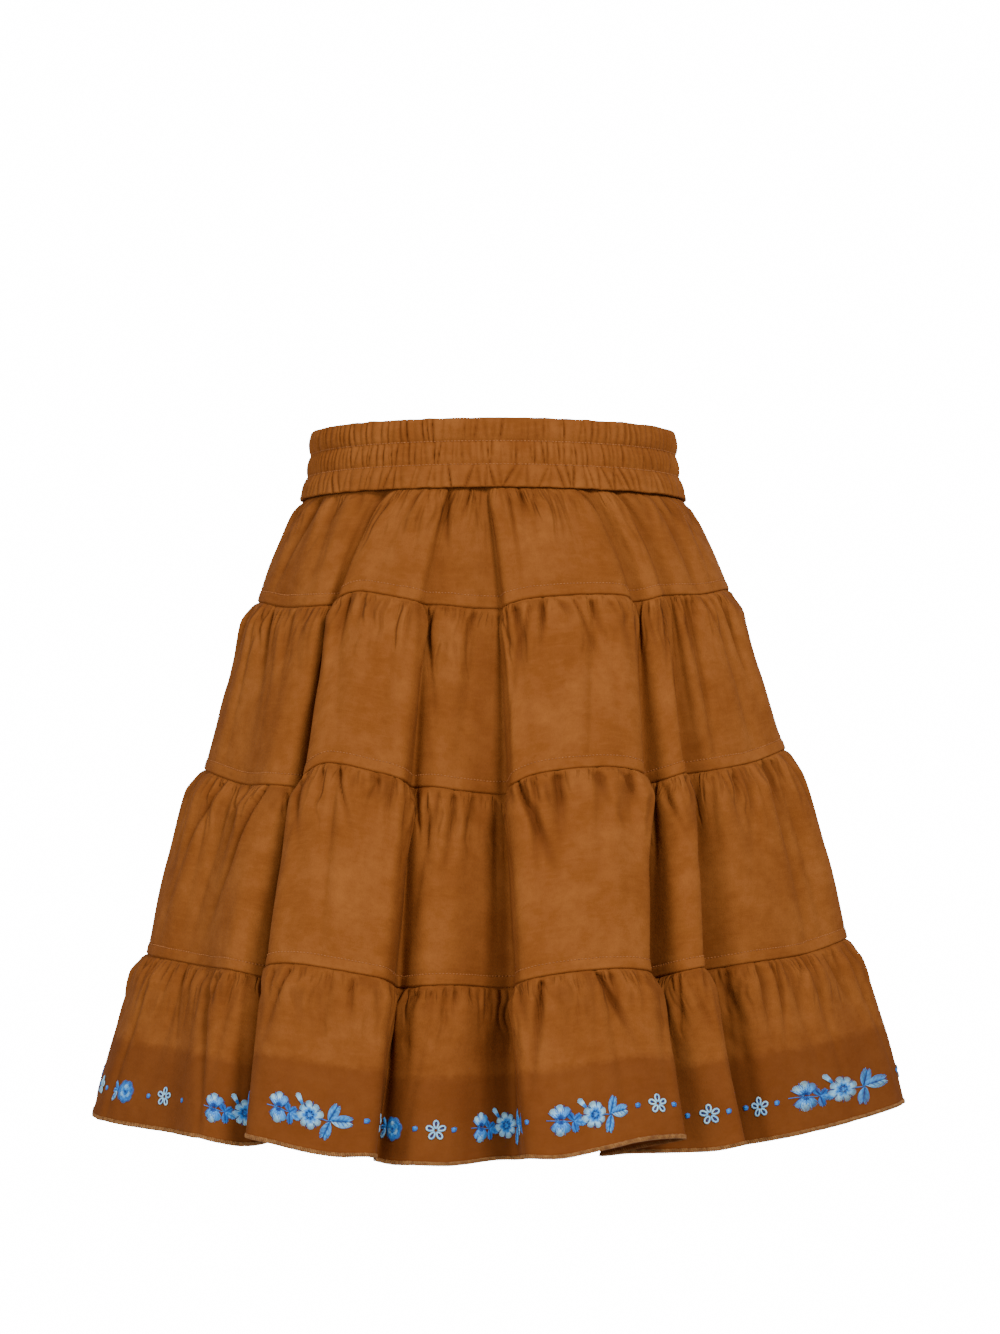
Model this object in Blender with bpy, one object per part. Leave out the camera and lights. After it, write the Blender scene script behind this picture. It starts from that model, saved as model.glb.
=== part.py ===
"""A short tiered skirt with an elastic waistband, hollow and filled out as it is worn.

Units are metres. +Z is up, the front faces -Y and +X is to the right of someone looking at the front.
The origin is on the axis of the waist, halfway up the waistband.

Each tier is a front and a back panel, and so is the waistband. A panel is one wall that follows rings
round the body. A ring is an oval, pushed out at the crests of the folds and in at their bottoms.
"""

from collections import namedtuple
from math import radians

import bmesh
import bpy
import numpy as np

MM = 0.001

# The wall of a tier, the wall of the padded waistband, and the clearance between two sewn pieces.
CLOTH_WALL = 1.3 * MM
BAND_WALL = 2.4 * MM
SEAM_GAP = 0.3 * MM

# The waistband: its height, and how far below its top edge the tiers begin.
BAND_HEIGHT = 47 * MM
BAND_TOP = BAND_HEIGHT / 2
BAND_TOP_HALF_WIDTH = 125 * MM
BAND_TOP_HALF_DEPTH = 90 * MM
BAND_TUCK = 2.0 * MM
RIBS_PER_HALF = 24
RIB_DEPTH = 1.3 * MM

# The seams that ring the skirt, from the waist to the hem. The front and back depths are half-depths of
# an oval that is fuller behind. Slant is the length of cloth above each seam. The shares are how much of a
# fold's depth at the hem it has there, and how much of its drop, its sag and its lift.
Seam = namedtuple("Seam", "name half_width front_depth back_depth slant fold_share drop_share sag_share lift_share")
SEAMS = (
    Seam("waist", 130 * MM, 94 * MM, 94 * MM, 0.0 * MM, 0.06, 0, 0, 0),
    Seam("tier_1", 163 * MM, 104 * MM, 122 * MM, 75 * MM, 0.17, 0.6, 0, 0),
    Seam("tier_2", 199 * MM, 132 * MM, 155 * MM, 119 * MM, 0.48, 1, 0, 0),
    Seam("tier_3", 237 * MM, 165 * MM, 190 * MM, 135 * MM, 0.8, 0, 1, 0),
    Seam("hem", 273 * MM, 198 * MM, 224 * MM, 120 * MM, 1.0, 0, 0, 1),
)

# The least share of its slant by which a tier comes down, however far it flares.
STEEPEST = 0.6

# The walls' columns stand this far apart at the hem.
COLUMN_SPACING = 14 * MM

# How each tier leaves the seam above it. Bell is how much steeper it flares at its top than on average,
# puff how far its fullness stands out below the seam, gather the height of its gathers and gathers their
# number on the front and on the back.
Tier = namedtuple("Tier", "name bell puff gather gathers")
TIERS = (
    Tier("tier_1", 0.38, 1.5 * MM, 1.4 * MM, 14),
    Tier("tier_2", 0.12, 3.0 * MM, 2.2 * MM, 17),
    Tier("tier_3", 0.35, 3.5 * MM, 2.4 * MM, 17),
    Tier("tier_4", 0.15, 3.5 * MM, 2.6 * MM, 18),
)

# The rows of a tier's wall, from its seam down: how far down, and the share of puff and of gather there.
Row = namedtuple("Row", "down puff gather")
ROWS = (
    Row(0.0, 0.0, 0.0),
    Row(0.12, 1.0, 1.0),
    Row(0.5, 0.5, 0.45),
    Row(1.0, 0.0, 0.0),
)

# The rows of the waistband, from its top edge down: how far down, how far out, and the share of rib depth.
# The two stitch lines pull it in between three elastic channels.
BandRow = namedtuple("BandRow", "down out rib")
BAND_ROWS = (
    BandRow(0.0, 0.0 * MM, 0.5),
    BandRow(0.16, 2.6 * MM, 1.0),
    BandRow(0.34, 0.3 * MM, 0.4),
    BandRow(0.50, 2.2 * MM, 1.0),
    BandRow(0.66, 0.8 * MM, 0.4),
    BandRow(0.86, 4.6 * MM, 0.9),
    BandRow(1.0, 4.0 * MM, 0.4),
)

# The fold lines run from the waist to the hem. Their angles are seen from above, from the front centre
# towards +X, at the waist, the first seam, the third seam and the hem. Out is how far a line stands out at
# the hem. Drop and sag are how far the second and the third seam hang there below the slant of their cloth,
# and lift is how far the hem is held above its own. These lengths are in millimetres.
FoldLine = namedtuple("FoldLine", "name waist_deg seam_deg low_deg hem_deg out drop sag lift")
FRONT_FOLDS = (
    FoldLine("left_side", -90, -90, -90, -90, 0, 5, 2, 6),
    FoldLine("a_outer_crest", -76, -74, -72.5, -72, 3, 7, 1, 6),
    FoldLine("a_soft_valley", -62, -62, -55.5, -52, -8, 12, 1, 9),
    FoldLine("a_inner_crest", -48, -49, -44.5, -42, 8, 13, 3, 7),
    FoldLine("ab_fold_mouth", -38.5, -43, -39.5, -36.5, -8, 14, 6, 5),
    FoldLine("ab_fold_floor", -35.5, -42, -38.5, -35.2, -38, 15, 7, 10),
    FoldLine("ab_fold_turn", -33, -40.5, -36.5, -33.4, -40, 15, 7, 12),
    FoldLine("b_left_edge", -29, -38, -35.5, -32.3, 20, 13, 6, 4),
    FoldLine("b_left_crest", -26, -33, -30.5, -28, 26, 3, 2, 3),
    FoldLine("b_right_crest", -18, -22, -21, -20.5, 22, 4, 2, 2),
    FoldLine("b_right_edge", -14, -17.5, -16, -15, 16, 7, 4, 4),
    FoldLine("bc_fold_floor", -12, -16, -15.5, -16.6, -22, 9, 5, 5),
    FoldLine("c_left", -10, -13.7, -13.3, -13.8, -13, 9, 5, 3),
    FoldLine("c_ridge", -8, -11, -10.5, -10.8, -6, 9, 4, 3),
    FoldLine("c_right", -5.5, -6.5, -6, -6, -11, 10, 2, 4),
    FoldLine("cd_fold_floor", -2.5, 0.2, 0.9, 0.8, -33, 11, 2, 9),
    FoldLine("cd_fold_turn", -1.5, 2, 3.3, 3.3, -35, 11, 2, 9),
    FoldLine("d_left_edge", 0.5, 3, 4.1, 4.4, 20, 9, 4, 5),
    FoldLine("d_left_crest", 4, 7.5, 8, 8.3, 27, 4, 2, 3),
    FoldLine("d_right_crest", 20, 25, 18.5, 19.5, 25, 2, 1, 10),
    FoldLine("d_right_edge", 26, 33, 24, 25, 16, 8, 5, 8),
    FoldLine("de_fold_floor", 28.5, 35.5, 24.6, 15.3, -21, 12, 6, -2),
    FoldLine("de_fold_turn", 30, 37, 26.4, 19.8, -26, 12, 6, 2),
    FoldLine("e_crest", 33, 40, 30, 30.5, 4, 11, 5, 0),
    FoldLine("e_right_edge", 36, 43.5, 34, 34.8, 8, 9, 4, 1),
    FoldLine("ef_fold_floor", 39, 47, 37, 37.2, -32, 7, 3, 3),
    FoldLine("f_left_crest", 44, 51, 45, 42, -7, 6, 1, 4),
    FoldLine("f_soft_valley", 58, 60, 60, 60, 1, 0, -3, 11),
    FoldLine("f_outer_crest", 74, 75, 75, 75, 12, -6, -7, 12),
)
BACK_FOLDS = (
    FoldLine("right_side", 90, 90, 90, 90, 1, -7, -7, 12),
    FoldLine("g_crest", 100, 103, 104, 103, 6, 0, -2, 8),
    FoldLine("g_soft_valley", 111, 114, 115, 114, -12, 6, 3, 2),
    FoldLine("h_left_crest", 118, 121, 122, 123.5, 16, 4, 2, 0),
    FoldLine("h_right_edge", 130, 133, 134.5, 136, 17, 8, 4, 3),
    FoldLine("hi_fold_floor", 132.5, 135.5, 137, 138.5, -34, 14, 7, 6),
    FoldLine("hi_fold_turn", 134.5, 137.5, 139, 140.5, -34, 14, 7, 6),
    FoldLine("i_left_edge", 137, 140, 141.5, 143, 11, 10, 5, 3),
    FoldLine("i_crest", 149, 150, 151, 152, 19, 3, 2, 0),
    FoldLine("i_right_edge", 161, 158.5, 159, 160, 12, 9, 4, 3),
    FoldLine("ij_fold_floor", 164, 161, 161.5, 162.5, -20, 14, 7, 6),
    FoldLine("j_left_crest", 168, 165.5, 166, 167, 8, 9, 4, 3),
    FoldLine("j_right_edge", 180, 177, 176.5, 176.5, 17, 8, 4, 3),
    FoldLine("jk_fold_floor", 183, 180, 179, 179, -42, 15, 7, 6),
    FoldLine("jk_fold_turn", 185, 182, 181, 181, -43, 15, 7, 6),
    FoldLine("k_left_edge", 187.5, 184.5, 183.5, 183.5, 14, 11, 5, 3),
    FoldLine("k_left_crest", 193, 189.5, 188.5, 188.5, 23, 3, 2, 0),
    FoldLine("k_right_edge", 204, 206, 207.5, 209, 20, 6, 3, 0),
    FoldLine("kl_fold_floor", 207, 209, 210.5, 212, -26, 13, 6, 6),
    FoldLine("l_left_crest", 211, 213, 214.5, 216, 6, 9, 4, 3),
    FoldLine("l_ridge", 221, 222, 223, 224.5, 12, 7, 4, 0),
    FoldLine("l_right_edge", 232, 231, 231.5, 232.5, 10, 9, 4, 3),
    FoldLine("lm_fold_floor", 235, 234.5, 234.5, 235.5, -28, 13, 6, 6),
    FoldLine("lm_fold_turn", 237, 236.5, 236.5, 237.5, -28, 13, 6, 6),
    FoldLine("m_left_edge", 240, 239.5, 239.5, 240.5, 10, 9, 4, 3),
    FoldLine("m_crest", 248, 247, 247, 247.5, 14, 5, 3, 2),
    FoldLine("m_soft_valley", 258, 257, 257, 257, -8, 6, 3, 4),
)
FOLDS = FRONT_FOLDS + BACK_FOLDS

# A panel runs from its first fold line to the other panel's first.
PANELS = (
    ("front", 0, len(FRONT_FOLDS)),
    ("back", len(FRONT_FOLDS), len(FOLDS)),
)

# Inside a fold deeper than this, in millimetres, only a share of the puff and of the gathers is left.
DEEP_FOLD = 20
FOLD_ROOM = 0.3

CLOTH_COLOUR = (0.33, 0.105, 0.022, 1.0)


def cloth_material(name, roughness):
    """The plain colour and sheen of one panel."""
    material = bpy.data.materials.new(name)
    material.use_nodes = True
    shader = material.node_tree.nodes["Principled BSDF"]
    shader.inputs["Base Color"].default_value = CLOTH_COLOUR
    shader.inputs["Roughness"].default_value = roughness
    shader.inputs["Metallic"].default_value = 0.0
    return material


def on_oval(degrees, half_width, front_depth, back_depth, out):
    """Points on an oval with its own depth in front and behind, each moved out along the oval's normal."""
    angle = np.radians(degrees)
    depth = np.where(np.cos(angle) > 0, front_depth, back_depth)
    points = np.stack([half_width * np.sin(angle), -depth * np.cos(angle)], axis=-1)
    normals = np.stack([depth * np.sin(angle), -half_width * np.cos(angle)], axis=-1)
    normals /= np.linalg.norm(normals, axis=-1, keepdims=True)
    return points + normals * np.asarray(out)[..., None]


def fold_angles(level):
    """The angle of every fold line at one seam."""
    waist, seam, low, hem = (
        np.array([getattr(fold, field) for fold in FOLDS])
        for field in ("waist_deg", "seam_deg", "low_deg", "hem_deg")
    )
    return (waist, seam, (seam + low) / 2, low, hem)[level]


def seam_rings():
    """For each seam, the points where the fold lines cross it. The cloth of each tier keeps its slant."""
    out, drop, sag, lift = (
        np.array([getattr(fold, field) for fold in FOLDS]) * MM for field in ("out", "drop", "sag", "lift")
    )
    rings, hung = [], np.full(len(FOLDS), BAND_TOP - BAND_HEIGHT)
    for level, seam in enumerate(SEAMS):
        sizes = (seam.half_width, seam.front_depth, seam.back_depth)
        flat = on_oval(fold_angles(level), *sizes, out * seam.fold_share)
        if rings:
            run = np.linalg.norm(flat - rings[-1][:, :2], axis=1)
            hung = hung - np.sqrt(np.maximum(seam.slant**2 - run**2, (STEEPEST * seam.slant) ** 2))
        height = hung - drop * seam.drop_share - sag * seam.sag_share + lift * seam.lift_share
        rings.append(np.column_stack([flat, height]))
    return rings


def curve_through(points, segments, fractions):
    """Points on a closed centripetal Catmull-Rom curve, at a fraction of the way along each segment."""
    count = len(points)
    p = [points[(segments + k) % count] for k in (-1, 0, 1, 2)]
    knots = [np.zeros(len(segments))]
    for before, after in zip(p, p[1:]):
        knots.append(knots[-1] + np.sqrt(np.linalg.norm(after - before, axis=1)))
    t = knots[1] + (knots[2] - knots[1]) * fractions

    def between(a, b, low, high):
        share = ((t - low) / (high - low))[:, None]
        return a * (1 - share) + b * share

    first = [between(p[k], p[k + 1], knots[k], knots[k + 1]) for k in range(3)]
    second = [between(first[k], first[k + 1], knots[k], knots[k + 2]) for k in range(2)]
    return between(second[0], second[1], knots[1], knots[2])


def outward(points):
    """The level direction out of the garment at each point of a closed ring."""
    along = np.roll(points, -1, axis=0)[:, :2] - np.roll(points, 1, axis=0)[:, :2]
    normals = np.stack([along[:, 1], -along[:, 0]], axis=1)
    return normals / np.linalg.norm(normals, axis=1, keepdims=True)


def parted(row, gap):
    """The row with both ends drawn in by half a gap, where the side seam is."""
    row = row.copy()
    for end, inner in ((0, 1), (-1, -2)):
        step = row[inner] - row[end]
        row[end] = row[end] + step / np.linalg.norm(step) * gap / 2
    return row


def wall(name, rows, thickness, roughness):
    """One closed wall from a grid of points, given as rows of its outer face and of its inner face."""
    grid = [row for row, _ in rows]
    inner_grid = [row - np.column_stack([out, np.zeros(len(out))]) * thickness for row, out in rows]
    mesh = bpy.data.meshes.new(name)
    build = bmesh.new()
    faces = [[[build.verts.new(point) for point in row] for row in side] for side in (grid, inner_grid)]
    outer, inner = faces
    down, across = len(grid) - 1, len(grid[0]) - 1
    for i in range(down):
        for j in range(across):
            build.faces.new((outer[i][j], outer[i + 1][j], outer[i + 1][j + 1], outer[i][j + 1]))
            build.faces.new((inner[i][j], inner[i][j + 1], inner[i + 1][j + 1], inner[i + 1][j]))
    for j in range(across):
        build.faces.new((outer[0][j], outer[0][j + 1], inner[0][j + 1], inner[0][j]))
        build.faces.new((outer[down][j], inner[down][j], inner[down][j + 1], outer[down][j + 1]))
    for i in range(down):
        build.faces.new((outer[i][0], inner[i][0], inner[i + 1][0], outer[i + 1][0]))
        build.faces.new((outer[i][across], outer[i + 1][across], inner[i + 1][across], inner[i][across]))
    bmesh.ops.recalc_face_normals(build, faces=build.faces)
    build.to_mesh(mesh)
    build.free()
    mesh.shade_smooth()
    mesh.set_sharp_from_angle(angle=radians(50))
    mesh.materials.append(cloth_material(name, roughness))
    piece = bpy.data.objects.new(name, mesh)
    bpy.context.scene.collection.objects.link(piece)
    return piece


def columns(hem):
    """The segment of each column, its fraction along it, and the column at which each segment starts."""
    segments, fractions, starts = [], [], []
    for segment, chord in enumerate(np.linalg.norm(np.roll(hem, -1, axis=0) - hem, axis=1)):
        steps = max(1, round(chord / COLUMN_SPACING))
        starts.append(len(segments))
        segments += [segment] * steps
        fractions += [step / steps for step in range(steps)]
    return np.array(segments), np.array(fractions), starts


def gather_wave(ring, gathers, shift):
    """An uneven wave between -1 and 1 with this many gathers round a ring."""
    run = np.cumsum(np.linalg.norm(ring - np.roll(ring, 1, axis=0), axis=1))
    turn = 2 * np.pi * run / run[-1]
    uneven = sum(np.sin(k * turn + shift + 2 * k) / k for k in (5, 9, 16))
    height = 0.8 + 0.2 * np.sin(13 * turn + shift)
    return np.sin(gathers * turn + 2 * uneven) * height


def tier_rings(level, tier, rings, segments, fractions):
    """The rows of a tier all round, from its seam down, each with the directions out of it."""
    above, below = rings[level], rings[level + 1]
    out = np.array([fold.out for fold in FOLDS])
    deep = np.minimum(out, np.roll(out, -1))[segments] < -DEEP_FOLD
    room = np.where(deep, FOLD_ROOM, 1.0)
    wave = gather_wave(curve_through(above, segments, fractions), 2 * tier.gathers, level)
    gap_share = SEAM_GAP / 2 / SEAMS[level + 1].slant
    rows = []
    for row in ROWS:
        down = min(max(row.down, gap_share), 1 - gap_share)
        flare = down + tier.bell * down * (1 - down)
        ring = above + (below - above) * [flare, flare, down]
        line = curve_through(ring, segments, fractions)
        direction = outward(line)
        lift = (tier.puff * row.puff + tier.gather * row.gather * wave) * room
        line[:, :2] += direction * lift[:, None]
        rows.append((line, direction))
    return rows


def band_rings():
    """The rows of the elastic waistband all round, from its top edge down, with its ribs and its channels."""
    degrees = 360 * np.arange(4 * RIBS_PER_HALF) / (4 * RIBS_PER_HALF) - 90
    rib = np.where(np.arange(len(degrees)) % 2, 1.0, -1.0)
    uneven = np.random.default_rng(3).uniform(0.6, 1.2, len(degrees))
    waist = SEAMS[0]
    rows = []
    for row in BAND_ROWS:
        share = row.down**2
        half_width = BAND_TOP_HALF_WIDTH + (waist.half_width + BAND_TUCK - BAND_TOP_HALF_WIDTH) * share
        half_depth = BAND_TOP_HALF_DEPTH + (waist.front_depth + BAND_TUCK - BAND_TOP_HALF_DEPTH) * share
        out = row.out * (1 - 0.5 * share) + RIB_DEPTH * row.rib * rib * uneven
        height = np.full(len(degrees), BAND_TOP - row.down * (BAND_HEIGHT - SEAM_GAP))
        line = np.column_stack([on_oval(degrees, half_width, half_depth, half_depth, out), height])
        smooth = np.column_stack([on_oval(degrees, half_width, half_depth, half_depth, 0 * out), height])
        rows.append((line, outward(smooth)))
    return rows


def panel(name, rows, first, last, thickness, roughness):
    """The wall between two columns of a closed ring, both included."""
    count = len(rows[0][0])
    picked = np.arange(first, last + 1) % count
    cut = [(parted(line[picked], SEAM_GAP), direction[picked]) for line, direction in rows]
    return wall(name, cut, thickness, roughness)


def main():
    for old in list(bpy.data.objects):
        bpy.data.objects.remove(old)
    band = band_rings()
    half = 2 * RIBS_PER_HALF
    panel("waistband_front", band, 0, half, BAND_WALL, 0.8)
    panel("waistband_back", band, half, 2 * half, BAND_WALL, 0.8)
    rings = seam_rings()
    segments, fractions, starts = columns(rings[-1])
    starts.append(len(segments))
    for level, tier in enumerate(TIERS):
        rows = tier_rings(level, tier, rings, segments, fractions)
        for side, first, last in PANELS:
            panel(f"{tier.name}_{side}", rows, starts[first], starts[last], CLOTH_WALL, 0.85)


main()
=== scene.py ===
"""The looks of a tiered skirt in brushed cloth, filled out as it is worn.

Everything is in metres, +Z up, and the front faces -Y. Each tier and the waistband is a thin sheet of cloth
on the form of its solid, with finer gathers and creases. The topstitching, the overlocked hem and the
embroidered border are threads laid on that cloth by its own measures, along the cloth and down it.
"""

from collections import namedtuple
from math import pi, radians

import bpy
import numpy as np
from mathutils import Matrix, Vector


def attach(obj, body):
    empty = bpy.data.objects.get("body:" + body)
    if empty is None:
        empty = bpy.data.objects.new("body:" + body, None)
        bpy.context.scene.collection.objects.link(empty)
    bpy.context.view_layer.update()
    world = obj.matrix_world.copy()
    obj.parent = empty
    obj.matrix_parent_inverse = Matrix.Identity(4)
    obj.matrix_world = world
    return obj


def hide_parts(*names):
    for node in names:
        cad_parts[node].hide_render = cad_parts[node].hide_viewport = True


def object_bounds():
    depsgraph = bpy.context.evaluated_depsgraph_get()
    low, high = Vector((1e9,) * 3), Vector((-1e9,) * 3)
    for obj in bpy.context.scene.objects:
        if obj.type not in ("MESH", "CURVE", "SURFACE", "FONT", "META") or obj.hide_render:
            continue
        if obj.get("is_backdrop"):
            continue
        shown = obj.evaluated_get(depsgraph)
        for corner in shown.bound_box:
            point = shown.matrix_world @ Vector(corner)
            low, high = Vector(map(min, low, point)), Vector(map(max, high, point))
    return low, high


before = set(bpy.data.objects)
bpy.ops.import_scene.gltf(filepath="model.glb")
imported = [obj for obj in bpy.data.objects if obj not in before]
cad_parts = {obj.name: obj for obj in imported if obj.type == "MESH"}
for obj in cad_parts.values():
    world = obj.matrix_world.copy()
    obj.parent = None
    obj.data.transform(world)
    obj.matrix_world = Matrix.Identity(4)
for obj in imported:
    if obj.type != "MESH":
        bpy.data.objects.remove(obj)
CAD_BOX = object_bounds()

MM = 0.001

# Driving sizes, the same as the solids'.
BAND_HEIGHT = 47 * MM
BAND_TOP = BAND_HEIGHT / 2
BAND_TOP_HALF_WIDTH = 125 * MM
BAND_TOP_HALF_DEPTH = 90 * MM
BAND_TUCK = 2.0 * MM
STEEPEST = 0.6

Seam = namedtuple("Seam", "name half_width front_depth back_depth slant fold_share drop_share sag_share lift_share")
SEAMS = (
    Seam("waist", 130 * MM, 94 * MM, 94 * MM, 0.0 * MM, 0.06, 0, 0, 0),
    Seam("tier_1", 163 * MM, 104 * MM, 122 * MM, 75 * MM, 0.17, 0.6, 0, 0),
    Seam("tier_2", 199 * MM, 132 * MM, 155 * MM, 119 * MM, 0.48, 1, 0, 0),
    Seam("tier_3", 237 * MM, 165 * MM, 190 * MM, 135 * MM, 0.8, 0, 1, 0),
    Seam("hem", 273 * MM, 198 * MM, 224 * MM, 120 * MM, 1.0, 0, 0, 1),
)

# Bell, puff, gather and gathers are the solids'. Spacing is that of the sheet's columns at the tier's foot,
# pitch the mean distance between its fine gathers, and depth and reach the fine gathers' mean sizes.
Tier = namedtuple("Tier", "name bell puff gather gathers spacing pitch depth reach")
TIERS = (
    Tier("tier_1", 0.38, 1.5 * MM, 1.4 * MM, 14, 1.3 * MM, 12 * MM, 3.6 * MM, 27 * MM),
    Tier("tier_2", 0.12, 3.0 * MM, 2.2 * MM, 17, 1.6 * MM, 12 * MM, 4.8 * MM, 27 * MM),
    Tier("tier_3", 0.35, 3.5 * MM, 2.4 * MM, 17, 1.7 * MM, 12 * MM, 5.0 * MM, 28 * MM),
    Tier("tier_4", 0.15, 3.5 * MM, 2.6 * MM, 18, 1.8 * MM, 12 * MM, 5.0 * MM, 28 * MM),
)

# Three families of gathers run down from a seam: tight puckers, gathers and long soft troughs. For each, the
# shares of the tier's pitch, depth and reach, the widths at the seam, how much a gather leans, and how much
# painted shade its trough gets in the colour of the cloth.
Family = namedtuple("Family", "pitch depth reach narrow wide lean shade")
FAMILIES = (
    Family(0.5, 0.30, 0.35, 0.9 * MM, 1.6 * MM, 0.32, 0.7),
    Family(0.95, 0.95, 1.0, 1.3 * MM, 2.2 * MM, 0.26, 1.0),
    Family(1.7, 0.58, 3.0, 2.6 * MM, 5.0 * MM, 0.08, 0.5),
)

# How far a tier's fullness stands out and how high its broad gathers are, at shares of the way down.
FORM_DOWN = (0.0, 0.12, 0.5, 1.0)
PUFF_SHARE = (0.0, 1.0, 0.5, 0.0)
GATHER_SHARE = (0.0, 1.0, 0.45, 0.0)

# The fold lines, the same as the solids': angles from the front centre towards +X, lengths in millimetres.
# The columns of each row are FoldLine's fields.
FoldLine = namedtuple("FoldLine", "name waist_deg seam_deg low_deg hem_deg out drop sag lift")
FRONT_FOLDS = (
    ("left_side", -90, -90, -90, -90, 0, 5, 2, 6),
    ("a_outer_crest", -76, -74, -72.5, -72, 3, 7, 1, 6),
    ("a_soft_valley", -62, -62, -55.5, -52, -8, 12, 1, 9),
    ("a_inner_crest", -48, -49, -44.5, -42, 8, 13, 3, 7),
    ("ab_fold_mouth", -38.5, -43, -39.5, -36.5, -8, 14, 6, 5),
    ("ab_fold_floor", -35.5, -42, -38.5, -35.2, -38, 15, 7, 10),
    ("ab_fold_turn", -33, -40.5, -36.5, -33.4, -40, 15, 7, 12),
    ("b_left_edge", -29, -38, -35.5, -32.3, 20, 13, 6, 4),
    ("b_left_crest", -26, -33, -30.5, -28, 26, 3, 2, 3),
    ("b_right_crest", -18, -22, -21, -20.5, 22, 4, 2, 2),
    ("b_right_edge", -14, -17.5, -16, -15, 16, 7, 4, 4),
    ("bc_fold_floor", -12, -16, -15.5, -16.6, -22, 9, 5, 5),
    ("c_left", -10, -13.7, -13.3, -13.8, -13, 9, 5, 3),
    ("c_ridge", -8, -11, -10.5, -10.8, -6, 9, 4, 3),
    ("c_right", -5.5, -6.5, -6, -6, -11, 10, 2, 4),
    ("cd_fold_floor", -2.5, 0.2, 0.9, 0.8, -33, 11, 2, 9),
    ("cd_fold_turn", -1.5, 2, 3.3, 3.3, -35, 11, 2, 9),
    ("d_left_edge", 0.5, 3, 4.1, 4.4, 20, 9, 4, 5),
    ("d_left_crest", 4, 7.5, 8, 8.3, 27, 4, 2, 3),
    ("d_right_crest", 20, 25, 18.5, 19.5, 25, 2, 1, 10),
    ("d_right_edge", 26, 33, 24, 25, 16, 8, 5, 8),
    ("de_fold_floor", 28.5, 35.5, 24.6, 15.3, -21, 12, 6, -2),
    ("de_fold_turn", 30, 37, 26.4, 19.8, -26, 12, 6, 2),
    ("e_crest", 33, 40, 30, 30.5, 4, 11, 5, 0),
    ("e_right_edge", 36, 43.5, 34, 34.8, 8, 9, 4, 1),
    ("ef_fold_floor", 39, 47, 37, 37.2, -32, 7, 3, 3),
    ("f_left_crest", 44, 51, 45, 42, -7, 6, 1, 4),
    ("f_soft_valley", 58, 60, 60, 60, 1, 0, -3, 11),
    ("f_outer_crest", 74, 75, 75, 75, 12, -6, -7, 12),
)
BACK_FOLDS = (
    ("right_side", 90, 90, 90, 90, 1, -7, -7, 12),
    ("g_crest", 100, 103, 104, 103, 6, 0, -2, 8),
    ("g_soft_valley", 111, 114, 115, 114, -12, 6, 3, 2),
    ("h_left_crest", 118, 121, 122, 123.5, 16, 4, 2, 0),
    ("h_right_edge", 130, 133, 134.5, 136, 17, 8, 4, 3),
    ("hi_fold_floor", 132.5, 135.5, 137, 138.5, -34, 14, 7, 6),
    ("hi_fold_turn", 134.5, 137.5, 139, 140.5, -34, 14, 7, 6),
    ("i_left_edge", 137, 140, 141.5, 143, 11, 10, 5, 3),
    ("i_crest", 149, 150, 151, 152, 19, 3, 2, 0),
    ("i_right_edge", 161, 158.5, 159, 160, 12, 9, 4, 3),
    ("ij_fold_floor", 164, 161, 161.5, 162.5, -20, 14, 7, 6),
    ("j_left_crest", 168, 165.5, 166, 167, 8, 9, 4, 3),
    ("j_right_edge", 180, 177, 176.5, 176.5, 17, 8, 4, 3),
    ("jk_fold_floor", 183, 180, 179, 179, -42, 15, 7, 6),
    ("jk_fold_turn", 185, 182, 181, 181, -43, 15, 7, 6),
    ("k_left_edge", 187.5, 184.5, 183.5, 183.5, 14, 11, 5, 3),
    ("k_left_crest", 193, 189.5, 188.5, 188.5, 23, 3, 2, 0),
    ("k_right_edge", 204, 206, 207.5, 209, 20, 6, 3, 0),
    ("kl_fold_floor", 207, 209, 210.5, 212, -26, 13, 6, 6),
    ("l_left_crest", 211, 213, 214.5, 216, 6, 9, 4, 3),
    ("l_ridge", 221, 222, 223, 224.5, 12, 7, 4, 0),
    ("l_right_edge", 232, 231, 231.5, 232.5, 10, 9, 4, 3),
    ("lm_fold_floor", 235, 234.5, 234.5, 235.5, -28, 13, 6, 6),
    ("lm_fold_turn", 237, 236.5, 236.5, 237.5, -28, 13, 6, 6),
    ("m_left_edge", 240, 239.5, 239.5, 240.5, 10, 9, 4, 3),
    ("m_crest", 248, 247, 247, 247.5, 14, 5, 3, 2),
    ("m_soft_valley", 258, 257, 257, 257, -8, 6, 3, 4),
)
FOLDS = [FoldLine(*row) for row in FRONT_FOLDS + BACK_FOLDS]
BACK_START = len(FRONT_FOLDS)

# In millimetres: how far in the deep part of a fold starts, and how much further in it's deepest. Then how much
# painted shade darkens the cloth there.
DEEP_START = 10
DEEP_RANGE = 22
FOLD_PAINTED_SHADE = 0.32

# How far above the seam the topstitching runs, how thick the turned hem is, how far above its seam each row of a
# tier's seam allowance is, and how far inside the cloth above it lies.
TOPSTITCH_UP = 7.9 * MM
HEM_THICKNESS = 0.9 * MM
ALLOWANCE = (5.0 * MM, 2.0 * MM)
ALLOWANCE_IN = 2.0 * MM

# The waistband's three elastic channels, from its top edge down: the share of its height at which each one
# ends, how far it puffs out, the depth of its ribs, and how many ribs there are round it, how much they lean
# and their seed. Then the spacing of its columns, its rows outside and its padding.
Channel = namedtuple("Channel", "foot bulge depth ribs")
CHANNELS = (
    Channel(0.34, 2.5 * MM, 2.7 * MM, (140, 0.3, 31)),
    Channel(0.66, 2.0 * MM, 2.3 * MM, (172, 0.4, 32)),
    Channel(1.0, 2.4 * MM, 2.7 * MM, (128, 0.7, 33)),
)
BAND_COLUMN = 0.78 * MM
BAND_ROWS = 44
BAND_PADDING = 3.0 * MM

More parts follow.
